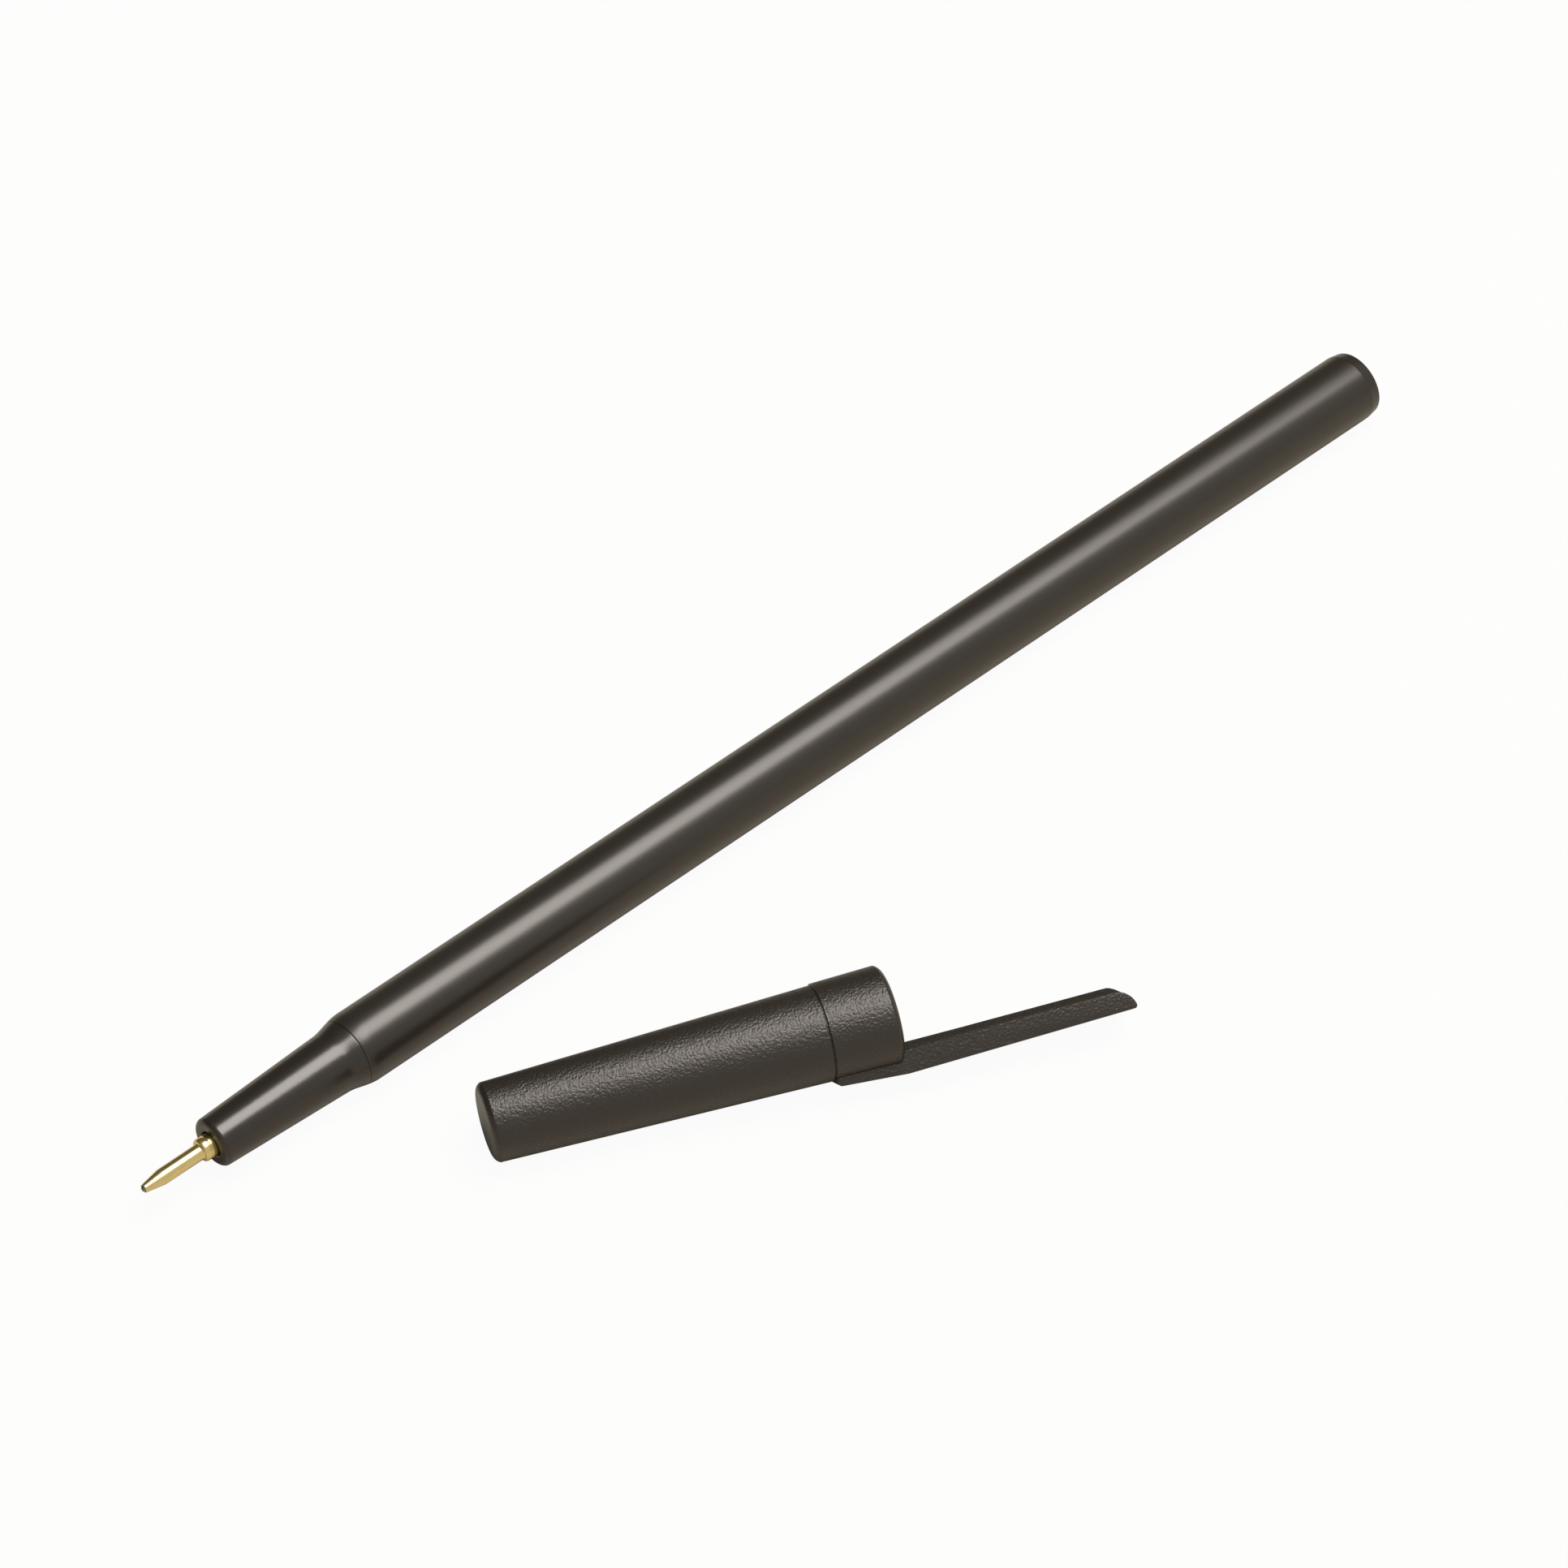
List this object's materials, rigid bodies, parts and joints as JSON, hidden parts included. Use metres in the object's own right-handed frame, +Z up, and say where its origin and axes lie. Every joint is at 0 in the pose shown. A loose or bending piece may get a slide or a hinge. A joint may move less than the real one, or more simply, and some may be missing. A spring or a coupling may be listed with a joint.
{
  "type": "ball pen",
  "caption": "Slim stick ball pen with a stepped nose and brass tip, lying beside its pulled-off tapered cap with a moulded pocket clip.",
  "frame": {"origin": "on the table, under the middle of the bounding box of the pen and its cap as they lie", "axes": "+Z up from the table; +X is the way the cap's mouth points, seen from above; the pen lies in the XY plane at 25.2 degrees to +X with its writing tip towards -X"},
  "size_m": [0.1386, 0.0742, 0.0099],
  "materials": {
    "barrel_plastic": "satin black moulded plastic",
    "nose_plastic": "smooth black moulded plastic",
    "cap_plastic": "finely spark-eroded black moulded plastic",
    "tip_brass": "turned and polished",
    "ball_carbide": "polished hard metal",
    "tube_plastic": "natural extruded plastic",
    "ink": "wet black",
    "grease": "amber gel"
  },
  "bodies": {
    "pen": {"barrel_tube": "barrel_plastic", "nose_cone": "nose_plastic", "end_plug": "barrel_plastic", "tip_body": "tip_brass", "ink_tube": "tube_plastic", "ink_column": "ink", "grease_follower": "grease"},
    "ball": {"writing_ball": "ball_carbide"},
    "cap": {"cap": "cap_plastic"}
  },
  "joints": [
    {"name": "ball_roll", "type": "hinge", "parent": "pen", "child": "ball", "pos_m": [-0.069, -0.03014, 0.00345], "axis": [-0.4251, 0.9051, 0], "continuous": true},
    {"name": "cap_slide", "type": "slide", "parent": "pen", "child": "cap", "axis": [1, 0, 0], "range_m": [0, 0.034]}
  ]
}
